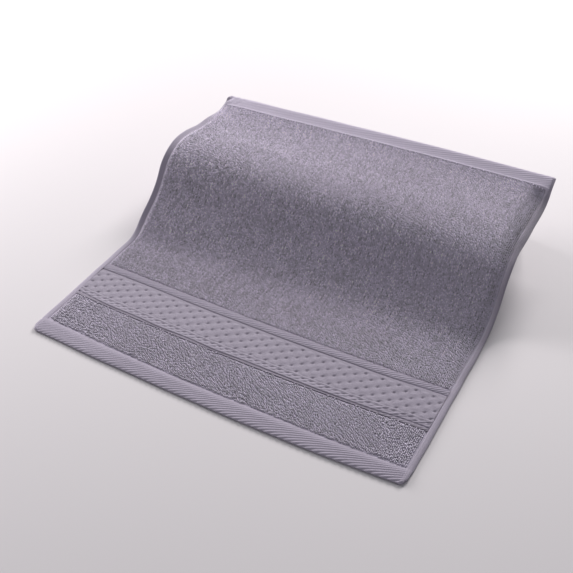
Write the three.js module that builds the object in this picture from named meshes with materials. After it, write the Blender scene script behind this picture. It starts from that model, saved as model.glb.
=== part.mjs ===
import * as THREE from 'three';
import { RoundedBoxGeometry } from 'three/addons/geometries/RoundedBoxGeometry.js';
import { mergeVertices } from 'three/addons/utils/BufferGeometryUtils.js';

// A small square terry face towel, half of it flat on the surface and half draped up over a low
// display step. Millimetres, +Z up. X runs along the hems, Y from the front hem to the back one.

// The cloth as woven and sewn, laid flat
const WIDTH = 340;
const LENGTH = 350;
const PILE_THICKNESS = 4.0;
const HEM_THICKNESS = 2.8;
const SEAM_THICKNESS = 2.2;
const BORDER_THICKNESS = 2.6;
const GROOVE_THICKNESS = 1.9;
const ROUNDED_EDGE = 1.2;
const ROUNDED_DROP = 0.8;
const END_HEM = 16.5;
const SIDE_HEM = 6.6;
const SEAM_HALF_WIDTH = 1.1;

// The flat-woven border near the front hem, as distances from that hem's edge
const BORDER_START = 55.4;
const LOWER_GROOVE = 57.2;
const UPPER_GROOVE = 94.2;
const BORDER_END = 101.8;
const GROOVE_HALF_WIDTH = 0.9;

// Staggered dimples between the two grooves
const DIMPLE_FIRST_ROW = 66.3;
const DIMPLE_ROWS = 6;
const DIMPLE_ROW_PITCH = 4.65;
const DIMPLE_COLUMNS = 46;
const DIMPLE_DEPTH = 0.45;

// How steeply the cloth climbs, in degrees, along its left and its right edge. Each row is a
// place along the cloth, measured from the front hem, and the cloth bends evenly between rows.
const CLIMB = [
  { at: 0, left: 0, right: 0 },
  { at: 135, left: 0, right: 0 },
  { at: 160, left: 38, right: 0 },
  { at: 180, left: 34, right: 26 },
  { at: 200, left: 47, right: 53 },
  { at: 215, left: 59, right: 63 },
  { at: 230, left: 36, right: 51 },
  { at: 250, left: 2, right: 20 },
  { at: 280, left: -16, right: -1 },
  { at: 315, left: 1, right: 5 },
  { at: 350, left: 26, right: 32 },
];

// Small unevenness: the front hem bows forward between its corners, the corners are rounded,
// and the right edge turns down on top of the step
const FRONT_BOW = 6.9;
const BOW_REACH = 151;
const CORNER_RADIUS = 6;
const CORNER_REACH = 12;
const TURNED_DOWN = 3;
const TURNED_WIDTH = 14;
const TURNED_FROM = 235;
const TURNED_FULL = 265;

// Steps of the surface between the woven features
const FLAT_STEP = 18;
const DRAPED_FROM = 135;
const DRAPED_TO = 260;
const DRAPED_STEP = 9;
const ARC_STEP = 1;

// The display step under the back half
const STEP_WIDTH = 300;
const STEP_DEPTH = 86;
const STEP_HEIGHT = 53.5;
const STEP_FRONT = 238;
const STEP_EDGE_RADIUS = 2;
const STEP_EDGE_SEGMENTS = 2;

// Thickness of the cloth along its length: hem, terry, flat border, terry, hem
const ALONG = [
  { at: 0, thickness: HEM_THICKNESS - ROUNDED_DROP },
  { at: ROUNDED_EDGE, thickness: HEM_THICKNESS },
  { at: END_HEM - SEAM_HALF_WIDTH, thickness: HEM_THICKNESS },
  { at: END_HEM, thickness: SEAM_THICKNESS },
  { at: END_HEM + SEAM_HALF_WIDTH, thickness: PILE_THICKNESS },
  { at: BORDER_START - SEAM_HALF_WIDTH, thickness: PILE_THICKNESS },
  { at: BORDER_START, thickness: BORDER_THICKNESS },
  { at: LOWER_GROOVE - GROOVE_HALF_WIDTH, thickness: BORDER_THICKNESS },
  { at: LOWER_GROOVE, thickness: GROOVE_THICKNESS },
  { at: LOWER_GROOVE + GROOVE_HALF_WIDTH, thickness: BORDER_THICKNESS },
  { at: UPPER_GROOVE - GROOVE_HALF_WIDTH, thickness: BORDER_THICKNESS },
  { at: UPPER_GROOVE, thickness: GROOVE_THICKNESS },
  { at: UPPER_GROOVE + GROOVE_HALF_WIDTH, thickness: BORDER_THICKNESS },
  { at: BORDER_END, thickness: BORDER_THICKNESS },
  { at: BORDER_END + SEAM_HALF_WIDTH, thickness: PILE_THICKNESS },
  { at: LENGTH - END_HEM - SEAM_HALF_WIDTH, thickness: PILE_THICKNESS },
  { at: LENGTH - END_HEM, thickness: SEAM_THICKNESS },
  { at: LENGTH - END_HEM + SEAM_HALF_WIDTH, thickness: HEM_THICKNESS },
  { at: LENGTH - ROUNDED_EDGE, thickness: HEM_THICKNESS },
  { at: LENGTH, thickness: HEM_THICKNESS - ROUNDED_DROP },
];

// Thickness of the cloth across its width, from either side edge inwards
const ACROSS = [
  { at: 0, thickness: HEM_THICKNESS - ROUNDED_DROP },
  { at: ROUNDED_EDGE, thickness: HEM_THICKNESS },
  { at: SIDE_HEM - SEAM_HALF_WIDTH, thickness: HEM_THICKNESS },
  { at: SIDE_HEM, thickness: SEAM_THICKNESS },
  { at: SIDE_HEM + SEAM_HALF_WIDTH, thickness: PILE_THICKNESS },
];

// The value of one column of a table at a place between its rows
function between(table, place, column) {
  const last = table.length - 1;
  if (place >= table[last].at) {
    return table[last][column];
  }
  const row = Math.max(0, table.findIndex((entry) => entry.at > place) - 1);
  const share = (place - table[row].at) / (table[row + 1].at - table[row].at);
  return THREE.MathUtils.lerp(table[row][column], table[row + 1][column], share);
}

// Even places from one position to another, without the first, no further apart than a step
function evenPlaces(from, to, step) {
  const count = Math.ceil((to - from) / step - 1e-6);
  return Array.from({ length: count }, (_, index) => from + ((index + 1) * (to - from)) / count);
}

// Where the surface has a row of points along the cloth
function placesAlong() {
  const dimples = Array.from(
    { length: DIMPLE_ROWS },
    (_, row) => DIMPLE_FIRST_ROW + row * DIMPLE_ROW_PITCH,
  );
  const fixed = [...ALONG.map((entry) => entry.at), ...dimples, DRAPED_FROM, DRAPED_TO];
  fixed.sort((a, b) => a - b);
  const places = [fixed[0]];
  for (let index = 1; index < fixed.length; index += 1) {
    const draped = fixed[index - 1] >= DRAPED_FROM && fixed[index] <= DRAPED_TO;
    const hem = fixed[index] <= END_HEM || fixed[index - 1] >= LENGTH - END_HEM;
    const step = draped ? DRAPED_STEP : hem ? END_HEM : FLAT_STEP;
    places.push(...evenPlaces(fixed[index - 1], fixed[index], step));
  }
  return places;
}

// Where the surface has a row of points across the cloth, a dimple's half pitch apart
function placesAcross() {
  const edge = ACROSS.map((entry) => entry.at);
  const inner = edge[edge.length - 1];
  const far = edge.map((place) => WIDTH - place).reverse();
  const middle = evenPlaces(inner, WIDTH - inner, (WIDTH - 2 * inner) / DIMPLE_COLUMNS);
  return [...edge, ...middle, ...far.slice(1)];
}

// How deep the dimple is at a point of the border, which is 0 away from the dimples' centres
function dimpleDepth(acrossIndex, along) {
  const row = (along - DIMPLE_FIRST_ROW) / DIMPLE_ROW_PITCH;
  const column = acrossIndex - (ACROSS.length - 1);
  const onRow = Math.abs(row - Math.round(row)) < 0.01 && row > -0.5 && row < DIMPLE_ROWS - 0.5;
  const inside = column > 0 && column < DIMPLE_COLUMNS;
  const staggered = (Math.round(row) + column) % 2 === 0;
  return onRow && inside && staggered ? DIMPLE_DEPTH : 0;
}

// The climb in radians at a share of the width and a place along the cloth
function climbAt(share, along) {
  const degrees = THREE.MathUtils.lerp(
    between(CLIMB, along, 'left'),
    between(CLIMB, along, 'right'),
    share,
  );
  return THREE.MathUtils.degToRad(degrees);
}

// The underside's line for one column of points: its depth, height and climb at each place,
// summed in short steps along the cloth so that the cloth keeps its length
function undersideLine(share, places) {
  const line = [];
  let depth = 0;
  let height = 0;
  let reached = 0;
  for (const place of places) {
    const count = Math.max(1, Math.ceil((place - reached) / ARC_STEP));
    const step = (place - reached) / count;
    for (let index = 0; index < count; index += 1) {
      const climb = climbAt(share, reached + (index + 0.5) * step);
      depth += Math.cos(climb) * step;
      height += Math.sin(climb) * step;
    }
    reached = place;
    line.push({ depth, height, climb: climbAt(share, place) });
  }
  return line;
}

// How far a point is moved back so that the four corners are round in plan
function cornerPull(across, along) {
  const fromSide = Math.min(across, WIDTH - across, CORNER_RADIUS);
  const gap = 1 - fromSide / CORNER_RADIUS;
  const pull = CORNER_RADIUS * (1 - Math.sqrt(1 - gap * gap));
  const front = Math.max(0, 1 - along / CORNER_REACH);
  const back = Math.max(0, 1 - (LENGTH - along) / CORNER_REACH);
  return 0.5 * pull * (front - back);
}

// How far the right edge hangs down where it lies above the step
function edgeDrop(across, along) {
  const sideways = THREE.MathUtils.smoothstep(across, WIDTH - TURNED_WIDTH, WIDTH);
  const lengthways = THREE.MathUtils.smoothstep(along, TURNED_FROM, TURNED_FULL);
  return TURNED_DOWN * sideways * lengthways;
}

// One closed sheet: a box's grid of points, laid on the draped underside and thickened
function towelGeometry() {
  const across = placesAcross();
  const along = placesAlong();
  const columns = across.length - 1;
  const rows = along.length - 1;
  const lines = across.map((place) => undersideLine(place / WIDTH, along));
  const geometry = new THREE.BoxGeometry(1, 1, 1, columns, rows, 1);
  const points = geometry.attributes.position;
  for (let index = 0; index < points.count; index += 1) {
    const column = Math.round((points.getX(index) + 0.5) * columns);
    const row = Math.round((points.getY(index) + 0.5) * rows);
    const top = points.getZ(index) > 0;
    const x = across[column];
    const s = along[row];
    const { depth, height, climb } = lines[column][row];
    const side = Math.min(x, WIDTH - x);
    const sheet = Math.min(between(ALONG, s, 'thickness'), between(ACROSS, side, 'thickness'));
    const thickness = top ? sheet - dimpleDepth(column, s) : 0;
    const bow = FRONT_BOW * Math.max(0, 1 - s / BOW_REACH) * Math.sin((Math.PI * x) / WIDTH);
    points.setXYZ(
      index,
      x - WIDTH / 2,
      depth - Math.sin(climb) * thickness - bow + cornerPull(x, s),
      height + Math.cos(climb) * thickness - edgeDrop(x, s),
    );
  }
  geometry.deleteAttribute('normal');
  geometry.deleteAttribute('uv');
  const merged = mergeVertices(geometry, 1e-5);
  merged.computeVertexNormals();
  merged.computeBoundingBox();
  return merged;
}

// A named piece with its own plain material
function piece(name, geometry, colour, roughness) {
  const material = new THREE.MeshStandardMaterial({ color: colour, roughness, metalness: 0 });
  const mesh = new THREE.Mesh(geometry, material);
  mesh.name = name;
  return mesh;
}

const towel = piece('towel', towelGeometry(), 0x968f9e, 0.95);

const step = piece(
  'step',
  new RoundedBoxGeometry(STEP_WIDTH, STEP_DEPTH, STEP_HEIGHT, STEP_EDGE_SEGMENTS, STEP_EDGE_RADIUS),
  0xe6e4ea,
  0.55,
);
step.position.set(0, STEP_FRONT + STEP_DEPTH / 2, STEP_HEIGHT / 2);

// The origin is on the surface, under the middle of the towel's own outline
const { min, max } = towel.geometry.boundingBox;
const part = new THREE.Group();
part.position.y = -(min.y + max.y) / 2;
part.add(towel, step);

export default part;
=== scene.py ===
import bpy
import numpy as np
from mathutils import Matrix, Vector


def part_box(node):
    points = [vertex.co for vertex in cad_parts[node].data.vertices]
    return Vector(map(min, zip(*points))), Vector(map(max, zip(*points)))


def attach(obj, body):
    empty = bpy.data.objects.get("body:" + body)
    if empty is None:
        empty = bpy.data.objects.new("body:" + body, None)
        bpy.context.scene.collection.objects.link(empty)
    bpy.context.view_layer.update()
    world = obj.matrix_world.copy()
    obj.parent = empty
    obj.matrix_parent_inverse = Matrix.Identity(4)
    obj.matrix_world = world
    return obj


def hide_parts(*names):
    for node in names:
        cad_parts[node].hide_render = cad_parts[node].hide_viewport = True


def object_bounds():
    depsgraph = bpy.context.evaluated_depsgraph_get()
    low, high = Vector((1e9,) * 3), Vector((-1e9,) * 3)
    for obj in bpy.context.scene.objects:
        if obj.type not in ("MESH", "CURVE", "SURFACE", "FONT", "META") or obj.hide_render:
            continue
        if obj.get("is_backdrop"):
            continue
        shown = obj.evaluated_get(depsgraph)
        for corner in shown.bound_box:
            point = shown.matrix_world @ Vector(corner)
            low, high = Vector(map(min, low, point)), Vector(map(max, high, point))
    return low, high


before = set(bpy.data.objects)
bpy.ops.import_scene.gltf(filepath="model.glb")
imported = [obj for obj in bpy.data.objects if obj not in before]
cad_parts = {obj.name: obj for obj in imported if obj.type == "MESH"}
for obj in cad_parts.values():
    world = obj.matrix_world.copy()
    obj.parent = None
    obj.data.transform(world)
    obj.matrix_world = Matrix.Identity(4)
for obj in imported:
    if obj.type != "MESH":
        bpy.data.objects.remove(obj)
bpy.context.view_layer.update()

# The cloth's fall
# The towel is one woven piece of cotton. Its front half lies flat and its back half is draped
# up over a low step, and every piece of it is placed by lay(), from its place on the flat cloth.
MM = 0.001
WIDTH = 340 * MM
LENGTH = 350 * MM
FALL_STEP = 0.5 * MM
FALL_COLUMNS = 35
FRONT_BOW = 6.9 * MM
BOW_REACH = 151 * MM
HEM_LINE_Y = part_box("towel")[0].y + FRONT_BOW
TUCK_LEAST = 0.3 * MM
FRONT_TUCK = 3.1 * MM
TUCK_PLACE = 130 * MM
TUCK_SPREAD = 110 * MM
TUCK_REACH = 17 * MM
CORNER_RADIUS = 6 * MM
CORNER_REACH = 12 * MM
CORNER_PULL = 0.5
TURNED_DOWN = 6 * MM
TURNED_WIDTH = 10 * MM
HOLLOW_X = 331 * MM
HOLLOW_SPREAD = 6 * MM
HOLLOW_HELD = 0.3
FOLD_HEIGHT = 1.0 * MM
FOLD_X = 52 * MM
FOLD_S = 106 * MM
FOLD_RADIUS = 38 * MM
FOLD_SPREAD = 5 * MM
FOLD_ACROSS = (75 * MM, 35 * MM)
FOLD_ALONG = (108 * MM, 118 * MM)
SWELL_HEIGHT = 2.4 * MM
SWELL_S = 307 * MM
SWELL_SPREAD = 16 * MM
SWELL_REACH = 40 * MM
PUCKER_HEIGHT = 0.7 * MM
PUCKER_REACH = 15 * MM
PUCKER_SIZE = 9 * MM
SQUASH = 0.6
WANDER_SINES = 6
SHORTEST_WAVE = 0.6
# Where each step along the cloth begins and ends in millimetres, and how much it adds
TURNED_STEPS = ((235, 265, 1), (326, 347, -1))
HOLLOW_STEPS = ((110, 160, 1.2), (235, 285, 3.6), (333, 338, -4.8))

# Place along the cloth in millimetres, and the climb there in degrees at the left and right edge
CLIMB = np.array([
    (0, 0, 0),
    (135, 0, 0),
    (160, 38, 0),
    (180, 34, 26),
    (200, 47, 53),
    (215, 59, 63),
    (230, 36, 51),
    (250, 2, 20),
    (280, -16, -1),
    (315, 1, 5),
    (350, 26, 32),
])


def fall_of_cloth():
    """Depth, height and climb of the cloth's underside, on a grid of shares of its width by places
    along it. The climb blends evenly from the left edge to the right one, and depth and height are
    the running sums of its cosine and its sine."""
    along = np.linspace(0, LENGTH, round(LENGTH / FALL_STEP) + 1)
    shares = np.linspace(0, 1, FALL_COLUMNS)[:, None]
    left = np.radians(np.interp(along, CLIMB[:, 0] * MM, CLIMB[:, 1]))
    right = np.radians(np.interp(along, CLIMB[:, 0] * MM, CLIMB[:, 2]))
    climb = left + (right - left) * shares
    middle = (climb[:, 1:] + climb[:, :-1]) / 2
    start = np.zeros((FALL_COLUMNS, 1))
    depth = np.hstack([start, np.cumsum(np.cos(middle), axis=1)]) * FALL_STEP
    height = np.hstack([start, np.cumsum(np.sin(middle), axis=1)]) * FALL_STEP
    return np.stack([depth, height, climb])


FALL = fall_of_cloth()


def ease(value, low, high):
    """0 at low, 1 at high and level beyond them, with a smooth step of 3 t^2 - 2 t^3 between."""
    t = np.clip((value - low) / (high - low), 0, 1)
    return t * t * (3 - 2 * t)


def in_steps(s, steps):
    """The sum of smooth steps along the cloth, each with its two places and its own amount."""
    return sum(amount * ease(s, low * MM, high * MM) for low, high, amount in steps)


def slow_noise(x, s, size, seed):
    """A smooth wander over the cloth, mostly between -1 and 1: a third of the sum of six sines of
    chance direction and start, with waves about size long."""
    chosen = np.random.default_rng(seed)
    total = np.zeros(np.broadcast(x, s).shape)
    for turn, stretch, phase in chosen.uniform(0, 1, (WANDER_SINES, 3)):
        wave = 2 * np.pi / (size * (SHORTEST_WAVE + stretch))
        direction = np.pi * turn
        total += np.sin(wave * (x * np.cos(direction) + s * np.sin(direction)) + 2 * np.pi * phase)
    return total / 3


def moved_back(x, s):
    """How far a place lies behind its fall: the front hem bows forward as a half sine and is
    tucked in as a bell, and three corners are rounded as quarter circles."""
    bow = FRONT_BOW * np.clip(1 - s / BOW_REACH, 0, 1) * np.sin(np.pi * np.clip(x / WIDTH, 0, 1))
    tuck = TUCK_LEAST + FRONT_TUCK * np.exp(-(((x - TUCK_PLACE) / TUCK_SPREAD) ** 2))
    tuck = tuck * np.clip(1 - s / TUCK_REACH, 0, 1)
    side = np.clip(np.minimum(x, WIDTH - x), 0, CORNER_RADIUS)
    pull = CORNER_RADIUS - np.sqrt(CORNER_RADIUS**2 - (CORNER_RADIUS - side) ** 2)
    front = np.clip(1 - s / CORNER_REACH, 0, 1)
    back = (x < WIDTH / 2) * np.clip(1 - (LENGTH - s) / CORNER_REACH, 0, 1)
    return tuck - bow + CORNER_PULL * pull * (front - back)


def turned_down(x, s):
    """How far the right side hangs below its fall: the edge turns down as a square, and beside the
    hem runs a bell-shaped hollow, of which the hem itself keeps a share."""
    turned = TURNED_DOWN * np.clip(1 - (WIDTH - x) / TURNED_WIDTH, 0, 1) ** 2
    held = HOLLOW_HELD * ease(x, HOLLOW_X, WIDTH)
    hollow = held + (1 - held) * np.exp(-(((x - HOLLOW_X) / HOLLOW_SPREAD) ** 2))
    return turned * in_steps(s, TURNED_STEPS) + hollow * in_steps(s, HOLLOW_STEPS) * MM


def small_rises(x, s):
    """How far the cloth's small forms stand above its fall: a bell carried round an arc for a low
    fold, a bell-shaped swell at the left edge and puckers in the back left corner."""
    arc = np.hypot(x - FOLD_X, s - FOLD_S) - FOLD_RADIUS
    fold = np.exp(-((arc / FOLD_SPREAD) ** 2)) * ease(x, *FOLD_ACROSS) * ease(s, *FOLD_ALONG)
    swell = np.exp(-(((s - SWELL_S) / SWELL_SPREAD) ** 2) - (x / SWELL_REACH) ** 2)
    corner = np.exp(-(x**2 + (LENGTH - s) ** 2) / PUCKER_REACH**2)
    puckers = corner * slow_noise(x, s, PUCKER_SIZE, seed=6)
    return FOLD_HEIGHT * fold + SWELL_HEIGHT * swell + PUCKER_HEIGHT * puckers


def lay(x, s, lift):
    """Points in the frame for places x across the cloth from its left edge, s along it from its
    front hem, and lift above its underside. The underside is read from the grid between its four
    nearest points, the lift goes along the cloth's normal, and nothing sinks into the ground."""
    x, s, lift = np.broadcast_arrays(x, s, lift)
    column = np.clip(x / WIDTH, 0, 1) * (FALL_COLUMNS - 1)
    row = np.clip(s / LENGTH, 0, 1) * (FALL.shape[2] - 1)
    i = np.minimum(column.astype(int), FALL_COLUMNS - 2)
    j = np.minimum(row.astype(int), FALL.shape[2] - 2)
    a = column - i
    b = row - j
    near = FALL[:, i, j] * (1 - a) + FALL[:, i + 1, j] * a
    far = FALL[:, i, j + 1] * (1 - a) + FALL[:, i + 1, j + 1] * a
    depth, height, climb = near * (1 - b) + far * b
    past = s - np.clip(s, 0, LENGTH)
    drop = turned_down(x, s) - small_rises(x, s)
    drop = np.minimum(drop, height + SQUASH * np.maximum(lift, 0))
    y = depth + past * np.cos(climb) - lift * np.sin(climb) + moved_back(x, s)
    z = height + past * np.sin(climb) + lift * np.cos(climb) - drop
    return np.stack([x - WIDTH / 2, y + HEM_LINE_Y, z], axis=-1)


def make_piece(name, points, quads, triangles, places, bake_places, material, shade=None):
    """A smooth mesh object from whole arrays: points, four- and three-cornered faces, and for each
    point its place on the flat cloth in millimetres, its place on the 0 to 1 map and how light its
    yarn is, which is 1 unless given."""
    corners = np.concatenate([quads.ravel(), triangles.ravel()]).astype(np.int32)
    sizes = np.concatenate([np.full(len(quads), 4), np.full(len(triangles), 3)])
    starts = np.concatenate([[0], np.cumsum(sizes)[:-1]]).astype(np.int32)
    mesh = bpy.data.meshes.new(name)
    mesh.vertices.add(len(points))
    mesh.vertices.foreach_set("co", points.astype(np.float32).ravel())
    mesh.loops.add(len(corners))
    mesh.loops.foreach_set("vertex_index", corners)
    mesh.polygons.add(len(sizes))
    mesh.polygons.foreach_set("loop_start", starts)
    mesh.update(calc_edges=True)
    mesh.polygons.foreach_set("use_smooth", np.ones(len(sizes), bool))
    for map_name, values in (("cloth", places), ("OFBake", bake_places)):
        layer = mesh.uv_layers.new(name=map_name)
        layer.data.foreach_set("uv", values[corners].astype(np.float32).ravel())
    lightness = mesh.attributes.new("shade", "FLOAT", "POINT")
    shade = np.ones(len(points)) if shade is None else shade
    lightness.data.foreach_set("value", shade.astype(np.float32))
    mesh.materials.append(material)
    piece = bpy.data.objects.new(name, mesh)
    bpy.context.scene.collection.objects.link(piece)
    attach(piece, "root")
    return piece


# Colours and finish of the yarn
# The whole towel is piece-dyed one grey mauve. Loops shade one another, so the pile's dye is the
# palest value here. Combed cotton is dull, with a soft bloom at grazing angles.
PILE_DYE = (0.78, 0.702, 0.852)
HEM_DYE = (0.435, 0.388, 0.476)
BORDER_DYE = (0.34, 0.303, 0.372)
COTTON_ROUGHNESS = 0.92
COTTON_SPECULAR = 0.2
COTTON_SHEEN = 0.25
SHEEN_ROUGHNESS = 0.5
CLOUD_SCALE = 22
# Painted light: the half that climbs and lies raised is painted a little lighter, and the part by its
# hem a little more
PAINTED_LIGHT_STEPS = ((115, 145, 0.17), (298, 328, 0.12))


def painted_light(s):
    """How much lighter the yarn is painted at a place along the cloth, as painted light on the raised
    half, from 1 at the front.
    """
    return 1 + in_steps(s, PAINTED_LIGHT_STEPS)


def dyed_yarn_group():
    """A colour group: the dye, made lighter and darker by a slow cloud over the cloth and by a fine
    grain, both of object-space noise. Cloud and Grain say how far each may go."""
    group = bpy.data.node_groups.new("dyed_yarn", "ShaderNodeTree")
    sockets = group.interface
    sockets.new_socket("Dye", in_out="INPUT", socket_type="NodeSocketColor")
    sockets.new_socket("Cloud", in_out="INPUT", socket_type="NodeSocketFloat")
    sockets.new_socket("Grain", in_out="INPUT", socket_type="NodeSocketFloat")
    sockets.new_socket("Grain Scale", in_out="INPUT", socket_type="NodeSocketFloat")
    sockets.new_socket("Color", in_out="OUTPUT", socket_type="NodeSocketColor")
    nodes = group.nodes
    link = group.links.new
    given = nodes.new("NodeGroupInput")
    place = nodes.new("ShaderNodeTexCoord")
    cloud = nodes.new("ShaderNodeTexNoise")
    cloud.inputs["Scale"].default_value = CLOUD_SCALE
    cloud.inputs["Detail"].default_value = 2
    grain = nodes.new("ShaderNodeTexNoise")
    grain.inputs["Detail"].default_value = 3
    link(place.outputs["Object"], cloud.inputs["Vector"])
    link(place.outputs["Object"], grain.inputs["Vector"])
    link(given.outputs["Grain Scale"], grain.inputs["Scale"])
    total = None
    for noise, amount in ((cloud, "Cloud"), (grain, "Grain")):
        centred = nodes.new("ShaderNodeMath")
        centred.operation = "SUBTRACT"
        centred.inputs[1].default_value = 0.5
        link(noise.outputs["Fac"], centred.inputs[0])
        scaled = nodes.new("ShaderNodeMath")
        scaled.operation = "MULTIPLY_ADD"
        link(centred.outputs[0], scaled.inputs[0])
        link(given.outputs[amount], scaled.inputs[1])
        if total is None:
            scaled.inputs[2].default_value = 1
        else:
            link(total.outputs[0], scaled.inputs[2])
        total = scaled
    shade = nodes.new("ShaderNodeVectorMath")
    shade.operation = "SCALE"
    link(given.outputs["Dye"], shade.inputs[0])
    link(total.outputs[0], shade.inputs["Scale"])
    result = nodes.new("NodeGroupOutput")
    link(shade.outputs[0], result.inputs["Color"])
    return group


def woven_ribs_group():
    """A height group on a piece's own cloth map, in millimetres: rows of fine yarn crossed by
    another set, as the product of two sines, turned by an angle. Pitch is the rows' pitch over 2 pi."""
    group = bpy.data.node_groups.new("woven_ribs", "ShaderNodeTree")
    sockets = group.interface
    sockets.new_socket("Place", in_out="INPUT", socket_type="NodeSocketVector")
    sockets.new_socket("Pitch", in_out="INPUT", socket_type="NodeSocketFloat")
    sockets.new_socket("Turn", in_out="INPUT", socket_type="NodeSocketFloat")
    sockets.new_socket("Height", in_out="OUTPUT", socket_type="NodeSocketFloat")
    nodes = group.nodes
    link = group.links.new
    given = nodes.new("NodeGroupInput")
    turned = nodes.new("ShaderNodeVectorRotate")
    turned.rotation_type = "Z_AXIS"
    link(given.outputs["Place"], turned.inputs["Vector"])
    link(given.outputs["Turn"], turned.inputs["Angle"])
    apart = nodes.new("ShaderNodeSeparateXYZ")
    link(turned.outputs[0], apart.inputs[0])
    waves = []
    for axis in ("X", "Y"):
        share = nodes.new("ShaderNodeMath")
        share.operation = "DIVIDE"
        link(apart.outputs[axis], share.inputs[0])
        link(given.outputs["Pitch"], share.inputs[1])
        wave = nodes.new("ShaderNodeMath")
        wave.operation = "SINE"
        link(share.outputs[0], wave.inputs[0])
        waves.append(wave)
    crossed = nodes.new("ShaderNodeMath")
    crossed.operation = "MULTIPLY"
    link(waves[0].outputs[0], crossed.inputs[0])
    link(waves[1].outputs[0], crossed.inputs[1])
    result = nodes.new("NodeGroupOutput")
    link(crossed.outputs[0], result.inputs["Height"])
    return group


DYED_YARN = dyed_yarn_group()
WOVEN_RIBS = woven_ribs_group()


def cotton(name, dye, cloud, grain, grain_scale, weave_pitch, weave_turn, weave_height,
           sheen=COTTON_SHEEN):
    """A cotton material: the dyed yarn colour times the piece's own shade, fine yarns as bump on its
    cloth map, and a dull surface with a little sheen. The pitch is in the map's millimetres and the
    weave's height in metres."""
    material = bpy.data.materials.new(name)
    material.use_nodes = True
    nodes = material.node_tree.nodes
    link = material.node_tree.links.new
    surface = nodes["Principled BSDF"]
    surface.inputs["Roughness"].default_value = COTTON_ROUGHNESS
    surface.inputs["Specular IOR Level"].default_value = COTTON_SPECULAR
    surface.inputs["Sheen Weight"].default_value = sheen
    surface.inputs["Sheen Roughness"].default_value = SHEEN_ROUGHNESS
    yarn = nodes.new("ShaderNodeGroup")
    yarn.node_tree = DYED_YARN
    yarn.inputs["Dye"].default_value = (*dye, 1)
    yarn.inputs["Cloud"].default_value = cloud
    yarn.inputs["Grain"].default_value = grain
    yarn.inputs["Grain Scale"].default_value = grain_scale
    shade = nodes.new("ShaderNodeAttribute")
    shade.attribute_name = "shade"
    shaded = nodes.new("ShaderNodeVectorMath")
    shaded.operation = "SCALE"
    link(yarn.outputs["Color"], shaded.inputs[0])
    link(shade.outputs["Fac"], shaded.inputs["Scale"])
    link(shaded.outputs[0], surface.inputs["Base Color"])
    place = nodes.new("ShaderNodeUVMap")
    place.uv_map = "cloth"
    ribs = nodes.new("ShaderNodeGroup")
    ribs.node_tree = WOVEN_RIBS
    ribs.inputs["Pitch"].default_value = weave_pitch / (2 * np.pi)
    ribs.inputs["Turn"].default_value = weave_turn
    link(place.outputs["UV"], ribs.inputs["Place"])
    bump = nodes.new("ShaderNodeBump")
    bump.inputs["Strength"].default_value = 1
    bump.inputs["Distance"].default_value = weave_height
    link(ribs.outputs["Height"], bump.inputs["Height"])
    link(bump.outputs["Normal"], surface.inputs["Normal"])
    return material


# Ground cloth
# The plain-woven ground holds the loops of both faces. It is one sheet from hem to hem, inside
# the hems at its four sides, and it lies a little lower under the border.
GROUND_INSET = 3 * MM
GROUND_LOW = 0.7 * MM
GROUND_TOP = 1.9 * MM
GROUND_SINK = 0.7 * MM
GROUND_STEP = 6 * MM
BORDER_EASE = 3 * MM
FRONT_HEM = 17.2 * MM
HEM_NARROWS = 2.2 * MM
HEM_NARROWS_FROM = (200 * MM, 325 * MM)
BACK_HEM = 14.0 * MM
SIDE_HEM = 5.6 * MM
BORDER_START = 54.6 * MM
BORDER_END = 101.4 * MM


def slab(x, s, top, bottom):
    """A closed sheet over a grid of places: its upper and lower face are the grid at two lifts, and
    a strip of faces joins their rims. Returns points, faces, no triangles, places and map places."""
    grid_x, grid_s = np.meshgrid(x, s)
    upper = lay(grid_x, grid_s, top)
    lower = lay(grid_x, grid_s, bottom)
    index = np.arange(grid_x.size).reshape(grid_x.shape)
    up = np.stack([index[:-1, :-1], index[:-1, 1:], index[1:, 1:], index[1:, :-1]], axis=-1)
    up = up.reshape(-1, 4)
    down = up[:, ::-1] + grid_x.size
    rim = np.concatenate([index[0], index[1:, -1], index[-1, -2::-1], index[-2:0:-1, 0]])
    after = np.roll(rim, -1)
    wall = np.stack([rim + grid_x.size, after + grid_x.size, after, rim], axis=-1)
    points = np.concatenate([upper.reshape(-1, 3), lower.reshape(-1, 3)])
    place = np.stack([grid_x, grid_s], axis=-1).reshape(-1, 2)
    share = place / (WIDTH, LENGTH) * (0.5, 1)
    places = np.concatenate([place, place]) / MM
    bake_places = np.concatenate([share, share + (0.5, 0)])
    return points, np.concatenate([up, down, wall]), np.zeros((0, 3), int), places, bake_places


def even(low, high, step):
    """Evenly spread places from low to high, about a step apart."""
    return np.linspace(low, high, max(2, round((high - low) / step) + 1))


def front_hem_width(x):
    """How wide the front hem is at each place across: it narrows towards the right corner."""
    return FRONT_HEM - HEM_NARROWS * ease(x, *HEM_NARROWS_FROM)


def ground_top(s):
    """The lift of the ground's upper face: its level, less a sink under the border."""
    from_start = ease(s, BORDER_START, BORDER_START + BORDER_EASE)
    from_end = ease(s, BORDER_END, BORDER_END - BORDER_EASE)
    return GROUND_TOP - GROUND_SINK * from_start * from_end


ground_cotton = cotton(
    "ground_cotton", PILE_DYE, cloud=0.12, grain=0.25, grain_scale=900,
    weave_pitch=0.7, weave_turn=0.0, weave_height=0.0002)
across = even(GROUND_INSET, WIDTH - GROUND_INSET, GROUND_STEP)
along = even(GROUND_INSET, LENGTH - GROUND_INSET, GROUND_STEP)
top = ground_top(along)[:, None] + np.zeros(len(across))
shape = slab(across, along, top, GROUND_LOW)
towel = make_piece("towel_ground", *shape, ground_cotton)
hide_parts("towel")

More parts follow.
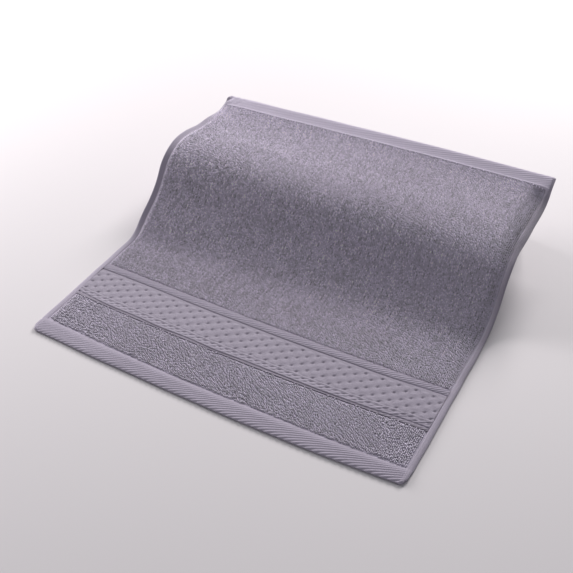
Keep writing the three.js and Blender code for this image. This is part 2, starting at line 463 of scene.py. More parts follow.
# Terry loops
# The pile is columns of uncut loops of soft thick yarn that stand on the ground and lean over
# one another. They are whole small loops here, some thousands to a piece, in bands.
LOOP_PITCH_ACROSS = 1.45 * MM
LOOP_PITCH_ALONG = 1.7 * MM
JITTER_ACROSS = 0.08
JITTER_ALONG = 0.4
LOOP_WIDTH = 1.5 * MM
WIDTH_SHARES = (0.75, 1.2)
LOOP_RISE = 2.0 * MM
RISE_SHARES = (0.85, 1.1)
RISE_POWER = 0.8
UNDER_RISE = 0.55
LOOP_LEAN = 0.3 * MM
LEAN_SHARES = np.array([[0.4], [1.2]])
LEAN_DRIFT = 0.8
DRIFT_SIZE = 40 * MM
TURN_DRIFT = 0.2
TURN_SIZE = 26 * MM
TURN_CHANCE = 0.22
LOW_EDGE = 3.5 * MM
EDGE_LOWER = 0.4
EDGE_UPRIGHT = 0.8
YARN_RADIUS = 0.44 * MM
LOOP_POINTS = 4
LOOP_SIDES = 3
FOOT_PAINTED_SHADE = 0.35
SHADE_SPREAD = 0.21
SHADE_LIMITS = (0.4, 1.6)
COLUMN_REACH = 4.5 * MM
COLUMN_SHADE = 0.08
PAINTED_SPECKLE = 0.8
PAINTED_SHADE_DARKER = 0.46
PAINTED_SHADE_X = 332 * MM
PAINTED_SHADE_SPREAD = 7 * MM
PILE_SHEEN = 0.5
# Painted shade between loops, as a wider chance spread: a little at the slope's foot, fully on it
PAINTED_SPECKLE_STEPS = ((100, 110, 0.4), (145, 165, 0.6), (232, 252, -0.8))
# Painted shade darkens the pile in a band beside the right hem: a little at the foot of the
# slope, fully along the raised part and less again by the back hem
PAINTED_SHADE_STEPS = ((108, 120, 0.45), (232, 252, 0.55), (312, 334, -0.45))
# A loop's middle line from root to root. In shares of its width it goes out as a cosine that a
# sine swells, and in shares of its rise it goes up as a power of a sine
ARCH = np.linspace(0, np.pi, LOOP_POINTS)
ARCH_OUT = -0.5 * np.cos(ARCH) * (0.5 + np.sin(ARCH))
ARCH_UP = np.sin(ARCH) ** RISE_POWER
random = np.random.default_rng(11)


def column_noise(x, s):
    """A chance value for each column of loops, which changes evenly along it between chance values
    a fixed reach apart."""
    columns = int(WIDTH / LOOP_PITCH_ACROSS) + 1
    rows = int(LENGTH / COLUMN_REACH) + 2
    table = np.random.default_rng(15).normal(0, 1, (columns, rows))
    column = np.clip(x / LOOP_PITCH_ACROSS, 0, columns - 1).astype(int)
    row = np.clip(s / COLUMN_REACH, 0, rows - 2)
    near = row.astype(int)
    return table[column, near] * (1 - row + near) + table[column, near + 1] * (row - near)


def loop_roots(left, right, low, high):
    """Where the loops of a band stand: a staggered grid with each root moved a little at random."""
    across = np.arange(left + LOOP_PITCH_ACROSS / 2, right, LOOP_PITCH_ACROSS)
    along = np.arange(low + LOOP_PITCH_ALONG / 2, high, LOOP_PITCH_ALONG)
    x, s = np.meshgrid(across, along)
    s = s + (np.arange(len(across)) % 2 - 0.5) * LOOP_PITCH_ALONG / 2
    x = x + random.uniform(-JITTER_ACROSS, JITTER_ACROSS, x.shape) * LOOP_PITCH_ACROSS
    s = s + random.uniform(-JITTER_ALONG, JITTER_ALONG, s.shape) * LOOP_PITCH_ALONG
    return x.ravel(), s.ravel()


def arches(x, s, side):
    """The middle lines of loops, as offsets from their roots, and the way across each. A loop
    stands nearly along the cloth, leans more the higher it is, and is lower beside the hems."""
    count = len(x)
    turn = np.pi / 2 + TURN_DRIFT * slow_noise(x, s, TURN_SIZE, seed=5)
    turn = turn + random.normal(0, TURN_CHANCE, count)
    near_edge = ease(np.minimum(x - SIDE_HEM, WIDTH - SIDE_HEM - x), LOW_EDGE, 0)
    width = LOOP_WIDTH * random.uniform(*WIDTH_SHARES, count)
    rise = LOOP_RISE * random.uniform(*RISE_SHARES, count) * (1 - EDGE_LOWER * near_edge)
    if side < 0:
        rise = rise * UNDER_RISE
    drift = np.stack([slow_noise(x, s, DRIFT_SIZE, seed=2), slow_noise(x, s, DRIFT_SIZE, seed=3)])
    chance = random.normal(0, 1, (2, count)) * LEAN_SHARES
    lean = LOOP_LEAN * (chance + LEAN_DRIFT * drift) * (1 - EDGE_UPRIGHT * near_edge)
    way = np.stack([np.cos(turn), np.sin(turn)])
    along_x = ARCH_OUT * width[:, None] * way[0][:, None] + ARCH_UP * lean[0][:, None]
    along_s = ARCH_OUT * width[:, None] * way[1][:, None] + ARCH_UP * lean[1][:, None]
    line = np.stack([along_x, along_s, ARCH_UP * rise[:, None] * side], axis=-1)
    across = np.stack([-way[1], way[0], np.zeros(count)], axis=-1)
    return line, across[:, None, :]


def loop_shade(x, s):
    """How light each loop is: by chance, by its column and by painted light along the cloth, with
    painted shade as a wider chance spread on the slope and a bell round a band by the right hem."""
    spread = 1 + PAINTED_SPECKLE * in_steps(s, PAINTED_SPECKLE_STEPS)
    chance = SHADE_SPREAD * random.uniform(-1, 1, len(x)) + COLUMN_SHADE * column_noise(x, s)
    painted_dark = np.exp(-(((x - PAINTED_SHADE_X) / PAINTED_SHADE_SPREAD) ** 2)) * in_steps(s, PAINTED_SHADE_STEPS)
    return painted_light(s) * np.clip(1 + spread * chance, *SHADE_LIMITS) * (1 - PAINTED_SHADE_DARKER * painted_dark)


def loops(name, x, s, side, material):
    """A band of loops on the upper face (side 1) or the lower one (side -1). A triangle of yarn is
    carried along each loop's arch, its ends are closed inside the ground, and it is painted darker
    at its foot as painted shade deep in the pile."""
    count = len(x)
    line, beside = arches(x, s, side)
    ahead = np.gradient(line, axis=1)
    ahead = ahead / np.linalg.norm(ahead, axis=-1, keepdims=True)
    outward = np.cross(beside, ahead)
    outward = outward / np.linalg.norm(outward, axis=-1, keepdims=True)
    beside = np.cross(ahead, outward)
    corner = 2 * np.pi * np.arange(LOOP_SIDES) / LOOP_SIDES
    ring = np.cos(corner)[:, None] * outward[:, :, None] + np.sin(corner)[:, None] * beside[:, :, None]
    body = line[:, :, None, :] + ring * YARN_RADIUS
    root = GROUND_TOP - YARN_RADIUS if side > 0 else GROUND_LOW + YARN_RADIUS
    px = x[:, None, None] + body[..., 0]
    ps = s[:, None, None] + body[..., 1]
    points = lay(px, ps, root + body[..., 2]).reshape(-1, 3)
    index = np.arange(len(points)).reshape(count, LOOP_POINTS, LOOP_SIDES)
    beyond = np.roll(index, -1, axis=2)
    quads = np.stack([index[:, :-1], beyond[:, :-1], beyond[:, 1:], index[:, 1:]], axis=-1)
    quads = quads.reshape(-1, 4)
    ends = np.concatenate([index[:, 0, ::-1], index[:, -1]])
    place = np.stack([px, ps], axis=-1).reshape(-1, 2)
    share = np.clip(place / (WIDTH, LENGTH), 0, 1)
    # Painted shade: each loop is painted darker towards its foot, deep in the pile
    shade = loop_shade(x, s)[:, None] * (FOOT_PAINTED_SHADE + (1 - FOOT_PAINTED_SHADE) * ARCH_UP)
    shade = np.repeat(shade, LOOP_SIDES, axis=1).ravel()
    return make_piece(name, points, quads, ends, place / MM, share, material, shade)


loop_cotton = cotton(
    "loop_cotton", PILE_DYE, cloud=0.14, grain=0.4, grain_scale=420,
    weave_pitch=0.5, weave_turn=0.6, weave_height=0.00008, sheen=PILE_SHEEN)
HEM_GAP = 0.3 * MM
LOOP_GAP = 0.9 * MM
BORDER_GAP = 1.0 * MM
BACK_OVERLAP = 0.4 * MM
# At the back the loops reach over the left hem, nearly to the edge
OVER_HEM = 2.0 * MM
OVER_HEM_FROM = (280 * MM, 318 * MM)
# Name of each band above, and where it begins and ends along the cloth
LOOP_BANDS = (
    ("terry_front", FRONT_HEM - HEM_NARROWS + LOOP_GAP, BORDER_START - BORDER_GAP),
    ("terry_foot", BORDER_END + LOOP_GAP, 160 * MM),
    ("terry_fall", 160 * MM, 217 * MM),
    ("terry_crest", 217 * MM, 275 * MM),
    ("terry_back", 275 * MM, LENGTH - BACK_HEM + BACK_OVERLAP),
)
# The lower face shows only near the sides of the raised half, so only they get loops. Name of
# each band below, its left side, and where it begins along the cloth
UNDER_WIDTH = 15.4 * MM
UNDER_BANDS = (
    ("terry_under_left", SIDE_HEM, 150 * MM),
    ("terry_under_right", WIDTH - SIDE_HEM - UNDER_WIDTH, 174 * MM),
)
for name, low, high in LOOP_BANDS:
    x, s = loop_roots(OVER_HEM, WIDTH - SIDE_HEM - HEM_GAP, low, high)
    covered = SIDE_HEM + HEM_GAP - (SIDE_HEM - OVER_HEM) * ease(s, *OVER_HEM_FROM)
    kept = (x > covered) & (s > front_hem_width(x) + LOOP_GAP)
    loops(name, x[kept], s[kept], 1, loop_cotton)
for name, left, low in UNDER_BANDS:
    x, s = loop_roots(left, left + UNDER_WIDTH, low, LENGTH - BACK_HEM)
    loops(name, x, s, -1, loop_cotton)

# Flat-woven border
# Near the front hem the weaver drops the loops and weaves a flat band: a groove at each side,
# two rows of slanting stitches, a ridge, six staggered rows of dimples and a ribbed strip.
BORDER_LIFT = 2.6 * MM
BORDER_LOW = 0.9 * MM
BORDER_STEP_ACROSS = 0.8 * MM
BORDER_STEP_ALONG = 0.42 * MM
BORDER_SIDE = 5.4 * MM
LOWER_GROOVE = 56.5 * MM
UPPER_GROOVE = 93.6 * MM
GROOVE_DEPTH = 1.5 * MM
GROOVE_SPREAD = 0.36 * MM
GROOVE_WANDER = 0.5 * MM
GROOVE_WAVE = 70 * MM
GROOVE_RISE = 2.2 * MM
GROOVE_RISE_REACH = 36 * MM
DIMPLE_LEFT = 7.7 * MM
DIMPLE_HALF_PITCH = 7.056 * MM
DIMPLE_FIRST_ROW = 65.5 * MM
DIMPLE_ROWS = 6
DIMPLE_ROW_PITCH = 4.58 * MM
DIMPLE_DEPTH = 1.6 * MM
DIMPLE_RIM = 1.1 * MM
DIMPLE_JITTER = 0.35 * MM
PILLOW_HEIGHT = 0.45 * MM
UPPER_PUFF = 0.45 * MM
LOWER_PUFF = 0.4 * MM
YARN_ROUGHNESS = 0.05 * MM
RIDGE_PLACE = 63.2 * MM
RIDGE_HEIGHT = 0.35 * MM
RIDGE_SPREAD = 0.4 * MM
STITCH_PITCH = 7.0 * MM
# Place along the cloth, share of a pitch to the side, and depth of each row of slanting stitches
STITCH_ROWS = (
    (61.3 * MM, 0.0, 0.95 * MM),
    (59.0 * MM, 0.5, 0.6 * MM),
)
# Turn, length and width of a stitch, of a dimple in the first row and of the other dimples
STITCH = (np.radians(17), 2.1 * MM, 0.55 * MM)
FIRST_DIMPLE = (np.radians(35), 2.0 * MM, 0.95 * MM)
OTHER_DIMPLE = (np.radians(55), 1.55 * MM, 1.2 * MM)
RIM_LONGER = 1.45
RIM_WIDER = 1.6
PILLOW_FADE = (0.6, 0.1)
# Seed, place along the cloth, and share of the rise at the left end of each groove
GROOVES = (
    (31, LOWER_GROOVE, 1),
    (32, UPPER_GROOVE, -0.3),
)
PATTERN_BEND = 1.3 * MM
PATTERN_BEND_FROM = (275 * MM, 325 * MM)
TWILL_ANGLE = np.radians(28)
TWILL_PITCH = 2.2 * MM
STRIP_ANGLE = np.radians(38)
STRIP_PITCH = 2.3 * MM
UPPER_RIB = 0.38 * MM
UPPER_RIB_FROM = (UPPER_GROOVE + 0.6 * MM, UPPER_GROOVE + 1.4 * MM)
LOWER_RIB = 0.22 * MM
LOWER_RIB_UNTIL = (RIDGE_PLACE - 0.4 * MM, RIDGE_PLACE - 1.2 * MM)
LOWER_RIB_ACROSS = (200 * MM, 320 * MM)
VALLEY_PAINTED_SHADE = 0.06
VALLEY_LIMITS = (-1.6 * MM, 0.8 * MM)
# Painted shade on the lip before the lower groove, painted light on the narrow strip by each groove
LIP_PAINTED_SHADE = 0.7
BORDER_PAINTED_LIGHT_STEPS = ((55.3, 56.5, 0.3), (56.5, 58, 0.13), (60, 62.2, -0.13), (93.6, 95.1, 0.26))


def twill(x, s, pitch, angle):
    """Slanting ribs between -1 and 1: a sine across lines that rise to the right at an angle."""
    across = s * np.cos(angle) - x * np.sin(angle)
    return np.sin(2 * np.pi * across / pitch)


def bell(x, s, turn, length, width):
    """A smooth hump of 1 at 0, exp(-(u / length)^2 - (v / width)^2), with u turned by an angle."""
    u = x * np.cos(turn) + s * np.sin(turn)
    v = s * np.cos(turn) - x * np.sin(turn)
    return np.exp(-((u / length) ** 2) - (v / width) ** 2)


def swelling(s, low, high):
    """A half sine over the stretch from low to high, and 0 beyond it."""
    return np.sin(np.pi * np.clip((s - low) / (high - low), 0, 1))


def dimples(x, s):
    """Staggered rows of bell-shaped troughs, each with a wider bell as its rim and moved a little by
    sines of its row and column, and pillows between them as the product of two cosines."""
    column = (x - DIMPLE_LEFT) / DIMPLE_HALF_PITCH
    row = (s - DIMPLE_FIRST_ROW) / DIMPLE_ROW_PITCH
    pillows = ease(np.maximum(-row, row - DIMPLE_ROWS + 1), *PILLOW_FADE)
    relief = -PILLOW_HEIGHT * pillows * np.cos(np.pi * column) * np.cos(np.pi * row)
    for row in range(DIMPLE_ROWS):
        nearest = 2 * np.round((column - row % 2) / 2) + row % 2
        sideways = (column - nearest) * DIMPLE_HALF_PITCH + DIMPLE_JITTER * np.sin(7 * nearest + 3 * row)
        lengthways = s - DIMPLE_FIRST_ROW - row * DIMPLE_ROW_PITCH
        lengthways += DIMPLE_JITTER * np.sin(5 * nearest + 2 * row)
        turn, length, width = FIRST_DIMPLE if row == 0 else OTHER_DIMPLE
        relief -= DIMPLE_DEPTH * bell(sideways, lengthways, turn, length, width)
        relief += DIMPLE_RIM * bell(sideways, lengthways, turn, RIM_LONGER * length, RIM_WIDER * width)
    return relief


def narrow_strips(x, s):
    """The strips on both sides of the dimples: each swells as a half sine and has slanting ribs, on
    the lower one towards the right only. The lower strip also has rows of bell-shaped stitches
    sunk in, and ends in a bell-shaped ridge."""
    relief = UPPER_PUFF * swelling(s, UPPER_GROOVE, BORDER_END)
    relief += LOWER_PUFF * swelling(s, LOWER_GROOVE, RIDGE_PLACE)
    relief += UPPER_RIB * ease(s, *UPPER_RIB_FROM) * twill(x, s, STRIP_PITCH, STRIP_ANGLE)
    slanting = ease(s, *LOWER_RIB_UNTIL) * ease(x, *LOWER_RIB_ACROSS)
    relief += LOWER_RIB * slanting * twill(x, s, STRIP_PITCH, TWILL_ANGLE)
    relief += RIDGE_HEIGHT * np.exp(-(((s - RIDGE_PLACE) / RIDGE_SPREAD) ** 2))
    for row, start, depth in STITCH_ROWS:
        sideways = ((x / STITCH_PITCH + start) % 1 - 0.5) * STITCH_PITCH
        relief -= depth * bell(sideways, s - row, *STITCH)
    return relief


def border_relief(x, s):
    """How far the border's face stands above its level: the dimples and the strips, less a
    bell-shaped trough along each groove, plus a little unevenness of the yarn."""
    s = s - PATTERN_BEND * ease(x, *PATTERN_BEND_FROM)
    relief = dimples(x, s) + narrow_strips(x, s)
    bend = GROOVE_RISE * np.clip(1 - x / GROOVE_RISE_REACH, 0, 1) ** 2
    for seed, groove, rising in GROOVES:
        line = groove + GROOVE_WANDER * slow_noise(x, 0, GROOVE_WAVE, seed) + rising * bend
        relief -= GROOVE_DEPTH * np.exp(-(((s - line) / GROOVE_SPREAD) ** 2))
    return relief + YARN_ROUGHNESS * np.random.default_rng(8).normal(0, 1, x.shape)


def relief_slab(x, s, top, low):
    """A closed sheet whose upper face is a fine grid and whose lower one is a single row of long
    faces. Triangles spread from its lower front corners close its two sides."""
    grid_x, grid_s = np.meshgrid(x, s)
    upper = lay(grid_x, grid_s, top)
    ends = grid_s[[0, -1]]
    lower = lay(grid_x[[0, -1]], ends, low)
    rows, columns = grid_x.shape
    index = np.arange(rows * columns).reshape(rows, columns)
    front, back = rows * columns + np.arange(2 * columns).reshape(2, columns)
    up = np.stack([index[:-1, :-1], index[:-1, 1:], index[1:, 1:], index[1:, :-1]], axis=-1)
    down = np.stack([front[1:], front[:-1], back[:-1], back[1:]], axis=-1)
    front_wall = np.stack([front[:-1], front[1:], index[0, 1:], index[0, :-1]], axis=-1)
    back_wall = np.stack([back[1:], back[:-1], index[-1, :-1], index[-1, 1:]], axis=-1)
    left = np.append(index[:, 0], back[0])
    right = np.append(index[:, -1], back[-1])
    left_wall = np.stack([np.full(rows, front[0]), left[:-1], left[1:]], axis=-1)
    right_wall = np.stack([np.full(rows, front[-1]), right[1:], right[:-1]], axis=-1)
    place = np.concatenate([np.stack([grid_x, grid_s], axis=-1).reshape(-1, 2),
                            np.stack([grid_x[[0, -1]], ends], axis=-1).reshape(-1, 2)])
    share = place / (WIDTH, LENGTH) * (0.5, 1)
    share[rows * columns:] += (0.5, 0)
    quads = np.concatenate([up.reshape(-1, 4), down, front_wall, back_wall])
    triangles = np.concatenate([left_wall, right_wall])
    points = np.concatenate([upper.reshape(-1, 3), lower.reshape(-1, 3)])
    return points, quads, triangles, place / MM, share


border_cotton = cotton(
    "border_cotton", BORDER_DYE, cloud=0.12, grain=0.22, grain_scale=1500,
    weave_pitch=0.62, weave_turn=0.0, weave_height=0.00006)
across = even(BORDER_SIDE, WIDTH - BORDER_SIDE, BORDER_STEP_ACROSS)
along = even(BORDER_START, BORDER_END, BORDER_STEP_ALONG)
relief = border_relief(*np.meshgrid(across, along))
# Painted shade on the lip and painted light on the strips by the grooves
upper_shade = LIP_PAINTED_SHADE + in_steps(along, BORDER_PAINTED_LIGHT_STEPS)[:, None]
# Painted shade in the relief's hollows and painted light on its crests
upper_shade = upper_shade + VALLEY_PAINTED_SHADE * np.clip(relief, *VALLEY_LIMITS) / MM
lower_shade = np.ones((2, len(across)))
shade = np.concatenate([upper_shade, lower_shade]).ravel()
shape = relief_slab(across, along, BORDER_LIFT + relief, BORDER_LOW)
border = make_piece("border", *shape, border_cotton, shade)

# End hems
# The plain-woven ends are folded twice to the back and sewn down. Their slanting ribs show on
# the rounded fold, fainter at the back, and the back hem has a raised line beside the loops.
HEM_THICKNESS = 2.9 * MM
HEM_STEP = 0.8 * MM
HEM_SIDE_GAP = 2.4 * MM
HEM_SHARPNESS = 4.5
HEM_TOP_POINTS = 36
HEM_LOW_POINTS = 8
HEM_ROLL = 4.2 * MM
HEM_ROLL_DEPTH = 0.55
HEM_WANDER = 0.25 * MM
HEM_WAVE = 60 * MM
HEM_RIB_HEIGHT = 0.36 * MM
HEM_RIB_SIDES = (-0.3 * HEM_THICKNESS, 0.2 * HEM_THICKNESS)
BACK_RIBS = 0.35
RIB_SLOPE = 0.62
RIB_STEEPENS = 0.016
RIB_TURNS = 0.12
RIB_LEAST = 0.45
RIB_FADE = (2 * MM, 7 * MM)
RIB_PAINTED_SHADE = 0.10
BACK_LINE = 0.7 * MM
LINE_PLACE = 1.3 * MM
LINE_SPREAD = 0.6 * MM


def rounded_section(width, thickness, sharpness, top_count, low_count):
    """A closed rounded rectangle round 0: the superellipse whose cosine and sine are raised to
    2 / sharpness, with points spread evenly over its upper and its lower half, from the right side
    upwards. Returns sideways and upward offsets."""
    angle = np.linspace(0, np.pi, 1001)
    sideways = 0.5 * width * np.sign(np.cos(angle)) * np.abs(np.cos(angle)) ** (2 / sharpness)
    upward = 0.5 * thickness * np.sin(angle) ** (2 / sharpness)
    length = np.concatenate([[0], np.cumsum(np.hypot(np.diff(sideways), np.diff(upward)))])
    above = np.linspace(0, length[-1], top_count, endpoint=False)
    below = np.linspace(0, length[-1], low_count, endpoint=False)
    turned = np.concatenate([np.interp(above, length, sideways), -np.interp(below, length, sideways)])
    raised = np.concatenate([np.interp(above, length, upward), -np.interp(below, length, upward)])
    return turned, raised


def tube_faces(rings, sides):
    """Faces of a tube of rings of points: quads between neighbouring rings, and each end closed by
    triangles from the end ring's first point."""
    index = np.arange(rings * sides).reshape(rings, sides)
    beyond = np.roll(index, -1, axis=1)
    quads = np.stack([index[:-1], beyond[:-1], beyond[1:], index[1:]], axis=-1).reshape(-1, 4)
    middle = np.arange(1, sides - 1)
    first = np.stack([np.zeros(sides - 2, int), middle + 1, middle], axis=-1)
    last = first[:, ::-1] + (rings - 1) * sides
    return quads, np.concatenate([first, last])


def end_hem(name, start, end, ribs, line_height, material):
    """A hem from start to end along the cloth, over its whole width: a rounded section carried
    across, rolled under as a quarter circle at its edge. Its ribs are a sine across slanting lines,
    a share of the full height, and fade towards the loops, where a bell-shaped line stands up."""
    sideways, upward = rounded_section(
        end - start, HEM_THICKNESS, HEM_SHARPNESS, HEM_TOP_POINTS, HEM_LOW_POINTS)
    across = even(HEM_SIDE_GAP, WIDTH - HEM_SIDE_GAP, HEM_STEP)
    inner = -1 if start > 0 else 1
    from_loops = (end - start) / 2 - inner * sideways
    from_edge = (end - start) / 2 + inner * sideways
    rolled = np.sqrt(1 - np.clip(1 - from_edge / HEM_ROLL, 0, 1) ** 2)
    upward = upward * np.where(upward > 0, 1 - HEM_ROLL_DEPTH * (1 - rolled), 1)
    x = np.repeat(across[:, None], len(sideways), axis=1)
    if inner > 0:
        s = start + from_edge / (end - start) * front_hem_width(x)
        rise = from_edge * (RIB_SLOPE + RIB_STEEPENS * from_edge / MM)
    else:
        s = end - from_edge / (end - start) * BACK_HEM
        rise = -from_edge * np.cos(TWILL_ANGLE)
    s = s + HEM_WANDER * slow_noise(x, 0, HEM_WAVE, seed=14)
    slanted = rise - x * np.sin(TWILL_ANGLE) * (1 - RIB_TURNS * x / WIDTH)
    fade = RIB_LEAST + (1 - RIB_LEAST) * ease(from_loops, *RIB_FADE)
    wave = ribs * fade * np.sin(2 * np.pi * slanted / TWILL_PITCH)
    rib = HEM_RIB_HEIGHT * wave * ease(upward, *HEM_RIB_SIDES)
    line = line_height * np.exp(-(((from_loops - LINE_PLACE) / LINE_SPREAD) ** 2)) * (upward > 0)
    points = lay(x, s, HEM_THICKNESS / 2 + upward + rib + line).reshape(-1, 3)
    quads, ends = tube_faces(len(across), len(sideways))
    around = np.linspace(0, 1, len(sideways)) + np.zeros_like(x)
    place = np.stack([x, s], axis=-1).reshape(-1, 2) / MM
    share = np.stack([x / WIDTH, around], axis=-1).reshape(-1, 2)
    # Painted light along the raised half, with painted shade in the ribs' valleys and painted light on
    # their crests
    shade = (painted_light(s) * (1 + RIB_PAINTED_SHADE * wave)).ravel()
    return make_piece(name, points, quads, ends, place, share, material, shade)


hem_cotton = cotton(
    "hem_cotton", HEM_DYE, cloud=0.12, grain=0.22, grain_scale=1500,
    weave_pitch=0.5, weave_turn=TWILL_ANGLE, weave_height=0.00005)
front_hem = end_hem(
    "front_hem", start=0.0, end=FRONT_HEM, ribs=1.0, line_height=0.0, material=hem_cotton)
back_hem = end_hem(
    "back_hem", start=LENGTH - BACK_HEM, end=LENGTH, ribs=BACK_RIBS, line_height=BACK_LINE,
    material=hem_cotton)

# Side hems
# The selvedges are folded in and sewn before the ends are, so they run the whole length. At the
# front corners they stand a little higher, and the end hem's open side shows as a slit.
SIDE_THICKNESS = 2.8 * MM
SIDE_SHARPNESS = 2.1
SIDE_TOP_POINTS = 20
SIDE_LOW_POINTS = 8
SIDE_STEP = 1.1 * MM
SIDE_END_GAP = 0.1 * MM
SIDE_WANDER = 0.25 * MM
SIDE_WAVE = 45 * MM
FRONT_CORNER = 6.5 * MM
BACK_CORNER_LEFT = 3.2 * MM
BACK_CORNER_RIGHT = 1.0 * MM
ROUND_END = 1.2 * MM
END_CLOSED = 0.95
THIN_BACK = 0.3
LEAST_LIFT = 0.1
CORNER_RISE = 0.35 * MM
AT_CORNER = (15 * MM, 11 * MM)
SLIT_DEPTH = 2.4 * MM
SLIT_SPREAD = 0.4 * MM
SLIT_FROM = 0.85
SEAM_PLACE = 0.42
SEAM_DEPTH = 0.3 * MM
SEAM_SPREAD = 0.4 * MM
SEAM_STITCH = 3.2 * MM
SEAM_EVEN = 0.65
CURL = 2.8 * MM
CURL_SUNK = 0.25
RIGHT_CURL = 0.3
CURL_STEPS = ((130, 175, 1), (298, 336, -1))
# Painted shade on the right hem's outer side, most along the band beside it, not by the back corner
OUTER_PAINTED_SHADE = 0.45
OUTER_LEAST = 0.35
OUTER_FROM = (0.05, 0.45)
OUTER_UNTIL = (342 * MM, 322 * MM)


def corner_inset(s, outer):
    """How far the hem's outer side is drawn in near its ends: a quarter circle seen from above."""
    back_corner = BACK_CORNER_LEFT if outer < 0 else BACK_CORNER_RIGHT
    radius = np.where(s < LENGTH / 2, FRONT_CORNER, back_corner)
    gap = np.clip(radius - np.minimum(s, LENGTH - s), 0, radius)
    return radius - np.sqrt(radius**2 - gap**2)


def thickness_share(s, outer):
    """The share of its thickness that the hem has: its ends close as quarter circles seen from the
    side, and the left hem is thinner where loops reach over it."""
    short = 1 - np.clip(np.minimum(s, LENGTH - s) / ROUND_END, 0, 1)
    thin = np.sqrt(1 - (END_CLOSED * short) ** 2)
    return thin * (1 - THIN_BACK * ease(s, *OVER_HEM_FROM) * (outer < 0))


def side_hem(name, start, end, outer, material):
    """A hem from start to end across the cloth, over its whole length, with its outer side at the
    right (outer 1) or the left (outer -1): a rounded section carried along, with a bell-shaped
    stitched seam, a bell-shaped slit at the front, and its rim curled up as a square where the
    cloth is raised."""
    width = end - start
    sideways, upward = rounded_section(
        width, SIDE_THICKNESS, SIDE_SHARPNESS, SIDE_TOP_POINTS, SIDE_LOW_POINTS)
    along = even(SIDE_END_GAP, LENGTH - SIDE_END_GAP, SIDE_STEP)
    # The rings run from back to front, so that the faces point outwards
    s = np.repeat(along[::-1, None], len(sideways), axis=1)
    outward = 0.5 + outer * sideways / width
    at_corner = ease(s, *AT_CORNER)
    stitches = SEAM_EVEN + (1 - SEAM_EVEN) * np.cos(2 * np.pi * s / SEAM_STITCH)
    seam = np.exp(-(((outward - SEAM_PLACE) * width / SEAM_SPREAD) ** 2)) * (upward > 0)
    seam = SEAM_DEPTH * seam * stitches * (1 - ease(s, *OVER_HEM_FROM))
    curl = CURL * (1 if outer < 0 else RIGHT_CURL)
    curl = curl * (outward**2 - CURL_SUNK) * in_steps(s, CURL_STEPS)
    slit = SLIT_DEPTH * at_corner * np.exp(-((upward / SLIT_SPREAD) ** 2)) * (outward > SLIT_FROM)
    wander = SIDE_WANDER * slow_noise(0, s, SIDE_WAVE, seed=21)
    x = (start + end) / 2 + sideways - outer * (slit + corner_inset(s, outer) * outward) + wander
    thin = thickness_share(s, outer)
    corner = CORNER_RISE * at_corner * ease(upward, 0, SIDE_THICKNESS / 2) * thin
    lift = SIDE_THICKNESS / 2 * np.minimum(1, thin + LEAST_LIFT) + upward * thin
    points = lay(x, s, lift + corner - seam + curl).reshape(-1, 3)
    quads, ends = tube_faces(len(along), len(sideways))
    around = np.linspace(0, 1, len(sideways)) + np.zeros_like(s)
    place = np.stack([x, s], axis=-1).reshape(-1, 2) / MM
    share = np.stack([around, s / LENGTH], axis=-1).reshape(-1, 2)
    # Painted shade on the right hem: on its outer side, and on the whole hem along the raised part
    painted_band = in_steps(s, PAINTED_SHADE_STEPS)
    dark = np.maximum(ease(outward, *OUTER_FROM), painted_band) * ease(s, *OUTER_UNTIL)
    dark = dark * (OUTER_LEAST + (1 - OUTER_LEAST) * painted_band)
    shade = (1 - OUTER_PAINTED_SHADE * dark * (outer > 0)).ravel()
    return make_piece(name, points, quads, ends, place, share, material, shade)


left_hem = side_hem("left_hem", 0.0, SIDE_HEM, -1, hem_cotton)
right_hem = side_hem("right_hem", WIDTH - SIDE_HEM, WIDTH, 1, hem_cotton)

# Display step
# A plain block of wood fibre, sealed and painted off-white, raises the back half of the towel.
# Its shape is the frame's own, and only its paint is made here.
PAINT = (0.60, 0.59, 0.61, 1)
PAINT_DARKER = 0.96
PAINT_ROUGHNESS = 0.5
ROLLER_SCALE = 260
ROLLER_STRENGTH = 0.4
ROLLER_HEIGHT = 0.0002
paint = bpy.data.materials.new("satin_paint")
paint.use_nodes = True
paint_nodes = paint.node_tree.nodes
paint_link = paint.node_tree.links.new
paint_surface = paint_nodes["Principled BSDF"]
paint_surface.inputs["Roughness"].default_value = PAINT_ROUGHNESS
paint_place = paint_nodes.new("ShaderNodeTexCoord")
roller = paint_nodes.new("ShaderNodeTexNoise")
roller.inputs["Scale"].default_value = ROLLER_SCALE
roller.inputs["Detail"].default_value = 3
paint_link(paint_place.outputs["Object"], roller.inputs["Vector"])
paint_tone = paint_nodes.new("ShaderNodeMix")
paint_tone.data_type = "RGBA"
paint_tone.inputs["A"].default_value = (*(PAINT_DARKER * channel for channel in PAINT[:3]), 1)
paint_tone.inputs["B"].default_value = PAINT
paint_link(roller.outputs["Fac"], paint_tone.inputs["Factor"])
paint_link(paint_tone.outputs["Result"], paint_surface.inputs["Base Color"])
paint_bump = paint_nodes.new("ShaderNodeBump")
paint_bump.inputs["Strength"].default_value = ROLLER_STRENGTH
paint_bump.inputs["Distance"].default_value = ROLLER_HEIGHT
paint_link(roller.outputs["Fac"], paint_bump.inputs["Height"])
paint_link(paint_bump.outputs["Normal"], paint_surface.inputs["Normal"])
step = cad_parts["step"]
step.data.materials.clear()
step.data.materials.append(paint)

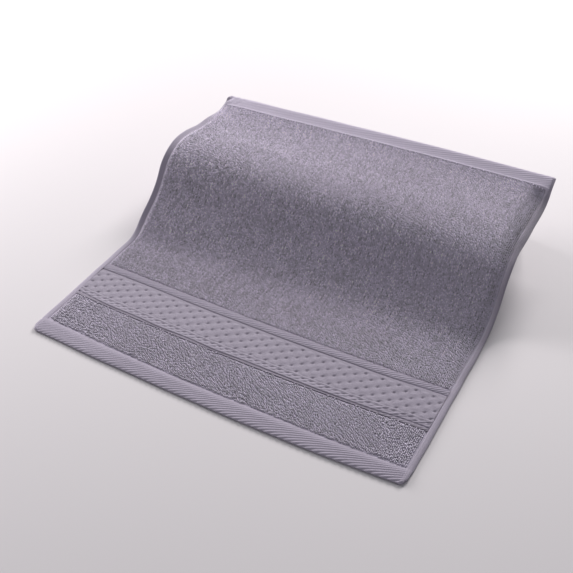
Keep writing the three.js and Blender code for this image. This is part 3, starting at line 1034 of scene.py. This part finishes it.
# Studio
# A plain pale floor, one soft light from behind and above, a weaker one from the left, and a
# weak even light from all round. The camera looks down from the front right.
FLOOR_SIZE = 6.0
FLOOR_COLOUR = (0.675, 0.638, 0.658, 1)
FLOOR_ROUGHNESS = 0.7
WORLD_COLOUR = (0.94, 0.98, 1.03, 1)
WORLD_STRENGTH = 0.275
LIGHT_AIM = (0.0, 0.05, 0.0)
LIGHT_SIZE = 0.6
CAMERA_PLACE = (0.2991, -0.5686, 0.5415)
CAMERA_PITCH = np.radians(40.19)
CAMERA_TURN = np.radians(28.77)
FOCAL_PIXELS = 950
PHOTO_PIXELS = 573

half = FLOOR_SIZE / 2
floor_corners = [(-half, -half, 0), (half, -half, 0), (half, half, 0), (-half, half, 0)]
floor_mesh = bpy.data.meshes.new("floor")
floor_mesh.from_pydata(floor_corners, [], [(0, 1, 2, 3)])
floor = bpy.data.objects.new("floor", floor_mesh)
bpy.context.scene.collection.objects.link(floor)
floor_paper = bpy.data.materials.new("floor_paper")
floor_paper.use_nodes = True
floor_surface = floor_paper.node_tree.nodes["Principled BSDF"]
floor_surface.inputs["Base Color"].default_value = FLOOR_COLOUR
floor_surface.inputs["Roughness"].default_value = FLOOR_ROUGHNESS
floor_mesh.materials.append(floor_paper)
floor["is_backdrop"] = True

world = bpy.data.worlds.new("studio")
world.use_nodes = True
world.node_tree.nodes["Background"].inputs["Color"].default_value = WORLD_COLOUR
world.node_tree.nodes["Background"].inputs["Strength"].default_value = WORLD_STRENGTH
bpy.context.scene.world = world


def soft_light(name, place, power, colour):
    """A square area light at a place, turned towards the towel."""
    data = bpy.data.lights.new(name, "AREA")
    data.size = LIGHT_SIZE
    data.energy = power
    data.color = colour
    light = bpy.data.objects.new(name, data)
    light.location = place
    light.rotation_mode = "QUATERNION"
    light.rotation_quaternion = (Vector(LIGHT_AIM) - Vector(place)).to_track_quat("-Z", "Y")
    bpy.context.scene.collection.objects.link(light)


soft_light("back_light", place=(0.0, 1.3, 0.9), power=22.9, colour=(1.0, 0.98, 0.97))
soft_light("left_light", place=(-1.0, 0.1, 0.5), power=8.8, colour=(1.0, 0.98, 0.975))

camera_data = bpy.data.cameras.new("camera")
camera_data.lens = camera_data.sensor_width * FOCAL_PIXELS / PHOTO_PIXELS
camera = bpy.data.objects.new("camera", camera_data)
camera.location = CAMERA_PLACE
camera.rotation_euler = (np.pi / 2 - CAMERA_PITCH, 0, CAMERA_TURN)
bpy.context.scene.collection.objects.link(camera)
bpy.context.scene.camera = camera
bpy.context.scene.view_settings.view_transform = "Standard"

low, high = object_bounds()
